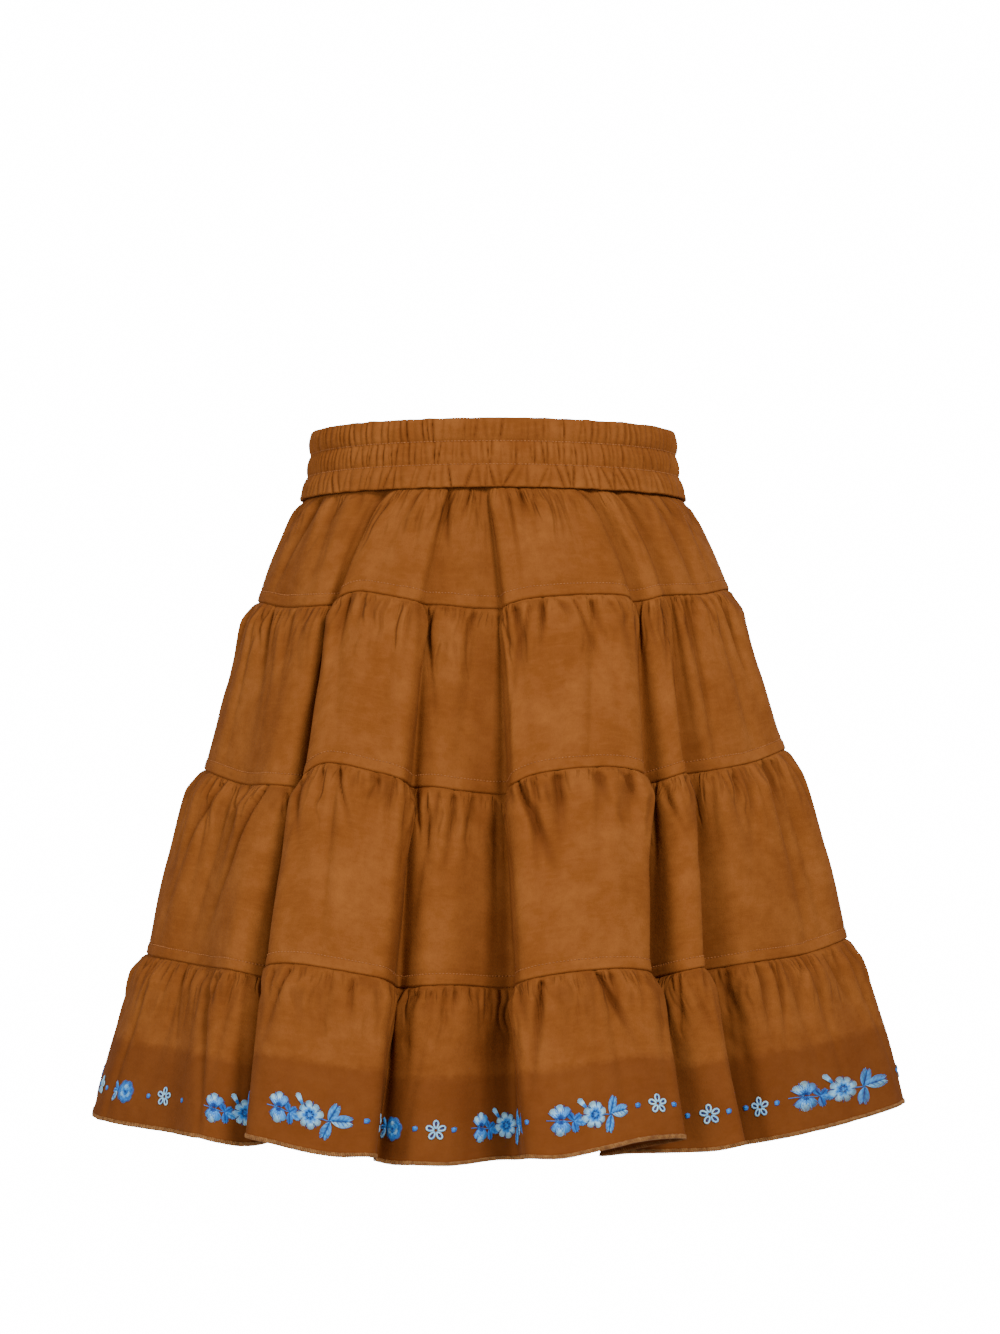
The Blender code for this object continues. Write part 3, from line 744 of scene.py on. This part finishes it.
def big_flower(centre):
    """An open flower of eight petals, pale at the rim and mid-blue at the heart."""
    for k, reach in enumerate((9.6, 8.8, 9.4, 8.6, 9.7, 8.9, 9.3, 9.0)):
        aim = 12 + 45 * k
        yield from petal(centre, aim, 2.2, reach, 2.9, "pale", 8, narrow=0.45)
        yield from petal(centre, aim, 2.2, 0.66 * reach, 1.6, "light", 4, rise=0.52, narrow=0.5, half=0.26)
        for side in (-0.9, 0.9):
            yield stroke("light", (2.4, 0.4 * side), (0.72 * reach, side), aim, centre, 0.62, 0.3)
        yield stroke("deep", (2.2, -1.5), (0.93 * reach, -3.3), aim, centre, 0.5, 0.26)
        yield stroke("mid", (2.2, 0), (0.58 * reach, 0.1), aim, centre, 0.74, 0.32)
    for k in range(16):
        yield stroke("deep" if k % 2 else "mid", (2.2, 0), (3.2, 0), 22.5 * k, centre, 0.85, 0.42)
    for k in range(9):
        yield stroke("mid" if k % 3 else "light", (-0.2, 0), (2.3, 0), 40 * k, centre, 0.95, 0.4)


def side_flower(centre, aim):
    """A flower seen from its side: three upper petals and three lower ones, with a deep heart."""
    petals = ((40, 9.4, 2.7, "pale"), (4, 10.2, 2.8, "pale"), (-32, 9.2, 2.7, "light"))
    petals += ((-152, 9.4, 2.9, "light"), (176, 10.6, 3.1, "pale"), (146, 8.8, 2.7, "light"))
    for turn, reach, wide, colour in petals:
        yield from petal(centre, aim + turn, 1.0, reach, wide, colour, 9)
        yield from petal(centre, aim + turn, 1.0, 0.7 * reach, 0.62 * wide, "light", 4, rise=0.5, half=0.26)
        for side in (-0.5, 0.0, 0.5):
            ends = (1.2, side * wide), (0.74 * reach, 1.1 * side * wide)
            yield stroke("mid", *ends, aim + turn, centre, 0.6, 0.32)
        yield from petal(centre, aim + turn, 0.6, 0.46 * reach, 0.45 * wide, "deep", 3, rise=0.68)
        for side in (-1, 1):
            ends = (2.0, 0.75 * side * wide), (0.93 * reach, 1.02 * side * wide)
            yield stroke("deep" if side < 0 else "mid", *ends, aim + turn, centre, 0.5, 0.24)


def cluster():
    """The border's large motif: a side flower, a sprig, an open flower with a bud over it, and three leaves."""
    yield from stem([(-31, 0.8), (-27, 0.6), (-22, 0), (-16, -1.2), (-9, -0.4)], "mid")
    yield from stem([(8, -0.8), (12, -1.6), (15, -0.8)], "mid")
    yield from side_flower((-22.0, 0.6), 88)
    for sprig_leaf in (
        ((-14.4, -0.4), 118, 5.6, 2.1, "mid", "deep", 6),
        ((-13.6, -0.8), 40, 5.2, 1.9, "mid", "deep", 6),
        ((-13.6, -1.4), -24, 7.6, 2.0, "light", "mid", 7),
        ((-14.2, -1.8), -80, 7.2, 2.2, "mid", "deep", 7),
    ):
        yield from leaf(*sprig_leaf)
    yield from petal((-6.6, 7.0), 124, -1.4, 6.6, 1.7, "pale", 6)
    yield from petal((-6.6, 7.0), 124, -1.4, 3.0, 1.2, "mid", 4, rise=0.6)
    yield from big_flower((0, 0))
    yield from leaf((13.2, -1.4), 64, 12.6, 3.7, "light", "deep", 11)
    yield from leaf((15.0, -1.2), 2, 15.6, 4.3, "light", "deep", 13, "pale")
    yield from leaf((14.0, -2.2), -108, 12.0, 3.7, "light", "deep", 10)


def rose():
    """A round flower of three rings of petals, with three leaves on its left."""
    yield from stem([(-13.5, 1.5), (-10, 0.6), (-6, 0)], "mid")
    yield from leaf((-8.4, 1.0), 128, 6.8, 1.8, "light", "mid", 6)
    yield from leaf((-9.0, 0.4), 186, 5.6, 1.7, "light", "deep", 6)
    yield from leaf((-8.8, -0.8), 232, 8.2, 2.2, "pale", "mid", 7)
    for k in range(7):
        yield from petal((0, 0), 51.4 * k + 10, 3.4, 8.5, 3.9, "mid", 9, narrow=0.7)
    for k in range(6):
        yield from petal((0, 0), 60 * k + 30, 2.2, 5.9, 2.6, "pale" if k % 2 else "light", 6, rise=0.62)
    for k in range(5):
        yield from petal((0, 0), 72 * k, 0.6, 3.2, 1.3, "light" if k % 2 else "mid", 4, rise=0.8)
    for y in (-0.45, 0.35):
        yield Strand("deep", straight((-0.7, y), (0.7, y)), 1.0, 0.4)


def daisy():
    """Five looped petals, each with a deep stitch inside it and a light one towards the middle."""
    for k in range(5):
        turn = np.linspace(0, 2 * pi, 11)
        loop = np.stack([4.0 - 2.5 * np.cos(turn), 1.5 * np.sin(turn) * (1 - 0.28 * np.cos(turn))], axis=1)
        yield Strand("pale", turned(loop, 72 * k + 18), 0.5, 0.62)
        yield stroke("deep", (3.6, 0), (5.2, 0), 72 * k + 18, (0, 0), 0.3, 0.34)
        yield stroke("light", (1.0, 0), (2.2, 0), 72 * k + 18, (0, 0), 0.45, 0.4)


def dot():
    """A seed of satin strands, with a light strand along its top as a painted highlight and a deep strand below as
    painted shadow.
    """
    yield from petal((-1.7, 0.1), 8, 0.0, 3.7, 1.45, "mid", 6, narrow=0.7)
    # Painted highlight along the top, then painted shadow below.
    yield stroke("light", (-1.1, 0.6), (1.1, 0.7), 8, (0, 0), 0.62, 0.3)
    yield stroke("deep", (-1.7, -1.4), (1.4, -1.3), 8, (0, 0), 0.36, 0.22)


def embroider(cloth, centres, line_down):
    """Lays every motif of the border on the cloth and makes one mesh for each colour of thread."""
    parts = {colour: [] for colour in THREADS}
    motifs = {"cluster": list(cluster()), "rose": list(rose()), "daisy": list(daisy()), "dot": list(dot())}
    random = np.random.default_rng(14)
    for motif, centre, left, right in centres:
        lean = random.normal(0, 2.0)
        drift = random.normal(0, 0.35)
        for strand in motifs[motif]:
            course = turned(strand.course, lean, (0, drift)) * MM
            course[:, 0] *= np.where(course[:, 0] < 0, left, right)
            steps = len(course)
            arch = np.sin(pi * np.linspace(0.12, 0.88, steps)) if steps < 8 else np.ones(steps)
            out = (0.12 + strand.rise * arch) * MM
            points, normals = cloth.at(centre + course[:, 0], line_down - course[:, 1], out)
            wide = strand.half_width * MM * (0.55 + 0.45 * arch)
            parts[strand.colour].append(tubes(points[None], normals[None], wide, 0.62 * wide))
    pieces = []
    for colour, some in parts.items():
        piece = mesh_object(f"embroidery_{colour}", *joined(some), thread_material(colour, *THREADS[colour]))
        pieces.append(piece)
    return pieces


def material_of(name, roughness, gloss, sheen=0.0, sheen_tint=(1.0, 1.0, 1.0)):
    """A new material with its shader, and the gloss and sheen that are the same all over."""
    material = bpy.data.materials.new(name)
    material.use_nodes = True
    tree = material.node_tree
    shader = tree.nodes["Principled BSDF"]
    shader.inputs["Roughness"].default_value = roughness
    shader.inputs["Specular IOR Level"].default_value = gloss
    shader.inputs["Sheen Weight"].default_value = sheen
    shader.inputs["Sheen Roughness"].default_value = 0.45
    shader.inputs["Sheen Tint"].default_value = (*sheen_tint, 1)
    return material, tree, shader


def added(tree, kind, inputs=None, **settings):
    """A new shader node. Its inputs are values, or sockets to link from."""
    node = tree.nodes.new("ShaderNode" + kind)
    for key, value in settings.items():
        setattr(node, key, value)
    for key, value in (inputs or {}).items():
        if isinstance(value, bpy.types.NodeSocket):
            tree.links.new(value, node.inputs[key])
        else:
            node.inputs[key].default_value = value
    return node


def maths(tree, operation, *values):
    """The result of a sum on numbers or sockets."""
    return added(tree, "Math", dict(enumerate(values)), operation=operation).outputs[0]


def times(tree, first, second):
    """The product of two numbers or sockets."""
    return maths(tree, "MULTIPLY", first, second)


def scaled(tree, place, *factors):
    """A place multiplied by three factors."""
    return added(tree, "VectorMath", {0: place, 1: factors}, operation="MULTIPLY").outputs[0]


def mixed_colour(tree, share, first, second):
    """A mix of two colours, given as numbers or sockets, by a share."""
    first, second = (c if isinstance(c, bpy.types.NodeSocket) else (*c, 1) for c in (first, second))
    node = added(tree, "Mix", {0: share, 6: first, 7: second}, data_type="RGBA")
    return node.outputs[2]


def noise(tree, place, scale, detail=3.0, roughness=0.55):
    """Noise from 0 to 1 at a place given in millimetres, with features of this many millimetres."""
    inputs = {"Vector": place, "Scale": 1 / scale, "Detail": detail, "Roughness": roughness}
    return added(tree, "TexNoise", inputs).outputs["Fac"]


def ramped(tree, value, low, high, to_low=0.0, to_high=1.0):
    """The value mapped from one range to another and held at its ends."""
    inputs = {"Value": value, "From Min": low, "From Max": high, "To Min": to_low, "To Max": to_high}
    return added(tree, "MapRange", inputs, interpolation_type="SMOOTHSTEP").outputs["Result"]


def creased(tree, place, seam_at):
    """How deep the creases below a seam are, from 0 to 1: fine puckers at the seam and long thin wrinkles."""
    sway = noise(tree, place, 30, 1.0)
    apart = added(tree, "SeparateXYZ", {0: place}).outputs
    across = maths(tree, "ADD", apart[0], times(tree, sway, 16.0))
    below = maths(tree, "SUBTRACT", apart[1], seam_at)
    total = 0.0
    for width, height, reach, share, shift in ((13.0, 180.0, 55.0, 1.0, 0.0), (6.0, 60.0, 15.0, 0.9, 300.0)):
        across_it, below_it = maths(tree, "DIVIDE", across, width), maths(tree, "DIVIDE", below, height)
        where = added(tree, "CombineXYZ", {0: across_it, 1: below_it, 2: shift}).outputs[0]
        wave = noise(tree, where, 1.0, 0.0, 0.4)
        line = ramped(tree, maths(tree, "ABSOLUTE", maths(tree, "SUBTRACT", wave, 0.5)), 0.0, 0.10, 1.0, 0.0)
        patchy = ramped(tree, noise(tree, place, 0.5 * reach + 8, 1.0), 0.42, 0.6)
        fade = ramped(tree, below, 0.25 * reach, reach, share, 0.0)
        start = ramped(tree, below, 0.0, 2.0)
        line = times(tree, times(tree, line, patchy), times(tree, fade, start))
        total = maths(tree, "MAXIMUM", total, line)
    return total


def cloth_material(name, dark, middle, light, seam_at=None, hem_from=None):
    """Brushed twill: a soft nap over fine diagonal ribs, mottled, with worn and faintly streaked places.

    Below a seam, at seam_at metres down the cloth, it's finely creased, with painted shade in the creases. Given
    hem_from, the whole cloth gets a little painted shade for the light that falls off lower down, and from hem_from
    on it's darker still.
    """
    material, tree, shader = material_of(name, 0.92, 0.10)
    uv = added(tree, "UVMap", uv_map="cloth").outputs["UV"]
    place = scaled(tree, uv, 1000, 1000, 1000)
    clouds = ramped(tree, noise(tree, place, 42, 4.0, 0.6), 0.3, 0.72)
    blotches = ramped(tree, noise(tree, place, 9, 4.0, 0.65), 0.3, 0.75)
    nap = noise(tree, place, 1.6, 3.0, 0.7)
    streaks = noise(tree, scaled(tree, place, 0.22, 1.0, 1.0), 2.6, 3.0, 0.6)
    colour = mixed_colour(tree, clouds, middle, light)
    colour = mixed_colour(tree, times(tree, blotches, 0.3), colour, dark)
    colour = mixed_colour(tree, ramped(tree, streaks, 0.42, 0.8, 0.0, 0.32), colour, light)
    colour = mixed_colour(tree, ramped(tree, nap, 0.5, 0.85, 0.0, 0.3), colour, dark)
    # A little painted shade over the whole lowest tier, for the light that falls off lower down, and darker from
    # hem_from on.
    if hem_from is not None:
        down = added(tree, "SeparateXYZ", {0: place}).outputs[1]
        edge = maths(tree, "ADD", down, times(tree, blotches, 2.5))
        lower = ramped(tree, edge, hem_from * 1000 - 3, hem_from * 1000 + 5, 0.12, 0.62)
        colour = mixed_colour(tree, lower, colour, dark)
    # Painted shade: the cloth's painted shade attribute and the creases darken the colour towards its dark one.
    painted_shade = added(tree, "Attribute", attribute_name="painted_shade").outputs["Fac"]
    shaded = times(tree, painted_shade, 0.8)
    creases = 0.0
    if seam_at is not None:
        creases = creased(tree, place, seam_at * 1000)
        shaded = maths(tree, "MAXIMUM", shaded, times(tree, creases, 0.4))
    colour = mixed_colour(tree, shaded, colour, tuple(0.85 * value for value in dark))
    tree.links.new(colour, shader.inputs["Base Color"])
    tree.links.new(ramped(tree, blotches, 0.0, 1.0, 0.86, 0.97), shader.inputs["Roughness"])

    slanted = added(tree, "Mapping", {"Vector": place, "Rotation": (0, 0, radians(52))}).outputs[0]
    ribs = added(tree, "TexWave", {"Vector": slanted, "Scale": 0.45, "Distortion": 0.6, "Detail": 1.0}).outputs["Fac"]
    crumple = noise(tree, place, 5.5, 3.0, 0.6)
    relief = 0.0
    for layer, weight in ((ribs, 0.05), (nap, 0.16), (streaks, 0.22), (crumple, 0.55), (creases, -2.2)):
        relief = maths(tree, "ADD", relief, times(tree, layer, weight))
    bump = added(tree, "Bump", {"Height": relief, "Strength": 0.6, "Distance": MM})
    tree.links.new(bump.outputs["Normal"], shader.inputs["Normal"])
    return material


def thread_material(name, dark, light, roughness=0.5, sheen=0.1):
    """Twisted thread that changes a little in colour from stitch to stitch."""
    material, tree, shader = material_of(name, roughness, 0.4, sheen, light)
    where = added(tree, "TexCoord").outputs["Object"]
    place = scaled(tree, where, 1000, 1000, 1000)
    change = ramped(tree, noise(tree, place, 3.2, 3.0, 0.7), 0.32, 0.68)
    tree.links.new(mixed_colour(tree, change, dark, light), shader.inputs["Base Color"])
    bump = added(tree, "Bump", {"Height": noise(tree, place, 0.35, 2.0, 0.6), "Strength": 0.5, "Distance": 0.15 * MM})
    tree.links.new(bump.outputs["Normal"], shader.inputs["Normal"])
    return material


def floor():
    """A pale round floor, well below the hem, that fades out before its edge."""
    bpy.ops.mesh.primitive_circle_add(vertices=96, radius=FLOOR_RADIUS, fill_type="NGON", location=(0, 0, FLOOR_HEIGHT))
    disc = bpy.context.object
    disc.name = "floor"
    material, tree, shader = material_of("pale_floor", 0.9, 0.2)
    shader.inputs["Base Color"].default_value = (0.86, 0.86, 0.85, 1)
    where = added(tree, "TexCoord").outputs["Object"]
    away = added(tree, "VectorMath", {0: where}, operation="LENGTH").outputs["Value"]
    tree.links.new(ramped(tree, away, 0.35 * FLOOR_RADIUS, FLOOR_RADIUS, 1.0, 0.0), shader.inputs["Alpha"])
    tree.links.new(noise(tree, where, 0.02), shader.inputs["Roughness"])
    disc.data.materials.append(material)
    disc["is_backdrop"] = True


def lit_by(name, place, target, width, height, power, colour):
    """A soft area light that faces its target."""
    light = bpy.data.lights.new(name, "AREA")
    light.shape, light.size, light.size_y = "RECTANGLE", width, height
    light.energy, light.color = power, colour
    lamp = bpy.data.objects.new(name, light)
    lamp.location = place
    lamp.rotation_euler = (Vector(target) - Vector(place)).to_track_quat("-Z", "Y").to_euler()
    bpy.context.scene.collection.objects.link(lamp)


def studio():
    """A pale world that lights softly and looks white to the camera, and the lamps."""
    world = bpy.data.worlds.new("studio")
    bpy.context.scene.world = world
    world.use_nodes = True
    tree = world.node_tree
    seen = tree.nodes["Background"]
    seen.inputs["Color"].default_value = (1.0, 1.0, 1.0, 1)
    seen.inputs["Strength"].default_value = WORLD_SEEN
    soft = added(tree, "Background", {"Color": (1.0, 0.98, 0.96, 1), "Strength": WORLD_LIGHT})
    straight_seen = added(tree, "LightPath").outputs["Is Camera Ray"]
    either = added(tree, "MixShader", {0: straight_seen, 1: soft.outputs[0], 2: seen.outputs[0]})
    tree.links.new(either.outputs[0], tree.nodes["World Output"].inputs["Surface"])
    for lamp in LAMPS:
        lit_by(*lamp)


def camera():
    """The photo's camera: level with the middle of the skirt, tilted up a little, with a long lens."""
    lens = bpy.data.cameras.new("camera")
    lens.lens, lens.sensor_width = LENS, SENSOR
    viewer = bpy.data.objects.new("camera", lens)
    viewer.location = CAMERA_PLACE
    viewer.rotation_euler = (Vector(CAMERA_TARGET) - Vector(CAMERA_PLACE)).to_track_quat("-Z", "Y").to_euler()
    bpy.context.scene.collection.objects.link(viewer)
    bpy.context.scene.camera = viewer


def seen_at(cloth, down, pixel):
    """How far along the cloth the camera sees it, at this pixel across the photo."""
    along = np.linspace(0, cloth.length, 12001)
    points, _ = cloth.at(along, np.full(len(along), down))
    away = points - CAMERA_PLACE
    depth = away @ unit(np.array(CAMERA_TARGET) - CAMERA_PLACE)
    across = PHOTO_WIDTH / 2 + LENS / SENSOR * PHOTO_HEIGHT * away[:, 0] / depth
    hits = np.flatnonzero((across[:-1] - pixel) * (across[1:] - pixel) <= 0)
    return along[hits[np.argmin(depth[hits])]]


def border_centres(cloth, down):
    """Every motif of the border, where its centre is along the cloth of the lowest tier, and its widths."""
    motifs = [Motif(*row) for row in FRONT_BORDER]
    known = [
        None if motif.seen is None else seen_at(cloth, down, motif.seen) - motif.part * motif.left * MM
        for motif in motifs
    ]
    centres = []
    for k, motif in enumerate(motifs):
        place = known[k]
        if place is None:
            first = max(j for j in range(k) if known[j] is not None)
            last = min(j for j in range(k, len(known)) if known[j] is not None)
            widths = np.array([MOTIF_WIDTHS[m.name] for m in motifs[first : last + 1]]) * MM
            gap = (known[last] - known[first] - widths.sum() + (widths[0] + widths[-1]) / 2) / (last - first)
            inner = widths[: k - first + 1]
            place = known[first] + inner.sum() - (inner[0] + inner[-1]) / 2 + gap * (k - first)
        centres.append((motif.name, place, motif.left, motif.right))
    start, end = centres[-1][1] + BORDER_START, centres[0][1] + cloth.length
    rose = BORDER_UNIT[BORDER_CLOSING][1] * MM
    repeats = round((end - start - rose) / BORDER_REPEAT)
    stretch = (end - start) / (repeats * BORDER_REPEAT + rose)
    for k in range(repeats + 1):
        for name, offset in BORDER_UNIT[: BORDER_CLOSING if k == repeats else None]:
            centres.append((name, start + (k * BORDER_REPEAT + offset * MM) * stretch, 1.0, 1.0))
    return centres


def main():
    camera()
    studio()
    floor()
    rings = seam_rings()

    band_material = cloth_material("waistband_cloth", *CLOTH_COLOURS)
    topstitch = thread_material("topstitch_thread", *TOPSTITCH_LOOK)
    edging = thread_material("overlock_thread", *OVERLOCK_LOOK)

    band, half, band_seams = band_cloth()
    stitches = [
        stitch_line(f"waistband_stitches_{k + 1}", band, down, CHANNEL_STITCH, topstitch)
        for k, down in enumerate(band_seams)
    ]
    for side, first, last in (("front", 0, half), ("back", half, 2 * half)):
        piece = sheet(f"waistband_{side}_cloth", band, first, last, band_material, 0.0)
        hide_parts(f"waistband_{side}")

    down_from_waist = 0.0
    for level, tier in enumerate(TIERS):
        slant = SEAMS[level + 1].slant
        cloth, back = tier_cloth(level, tier, rings)
        lowest = level == len(TIERS) - 1
        hem_from = down_from_waist + slant - HEM_SHADE if lowest else None
        material = cloth_material(f"{tier.name}_cloth", *CLOTH_COLOURS, down_from_waist, hem_from)
        if lowest:
            trims = [overlock("hem_overlock", cloth, *OVERLOCK, edging)]
            line_down = slant - BORDER_ABOVE_HEM
            trims += embroider(cloth, border_centres(cloth, line_down), line_down)
        else:
            line_down = slant - TOPSTITCH_UP
            trims = [stitch_line(f"{tier.name}_topstitch", cloth, line_down, TOPSTITCH, topstitch, TOPSTITCH_WANDER)]
        for side, first, last in (("front", 0, back), ("back", back, len(cloth.along))):
            name = f"{tier.name}_{side}"
            foot = turned_hem(cloth) if lowest else None
            piece = sheet(f"{name}_cloth", cloth, first, last, material, down_from_waist, foot)
            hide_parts(name)
        down_from_waist += slant


main()

boxes = {"cad": CAD_BOX, "visual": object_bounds()}
{name: [[float(x) for x in corner] for corner in box] for name, box in boxes.items()}
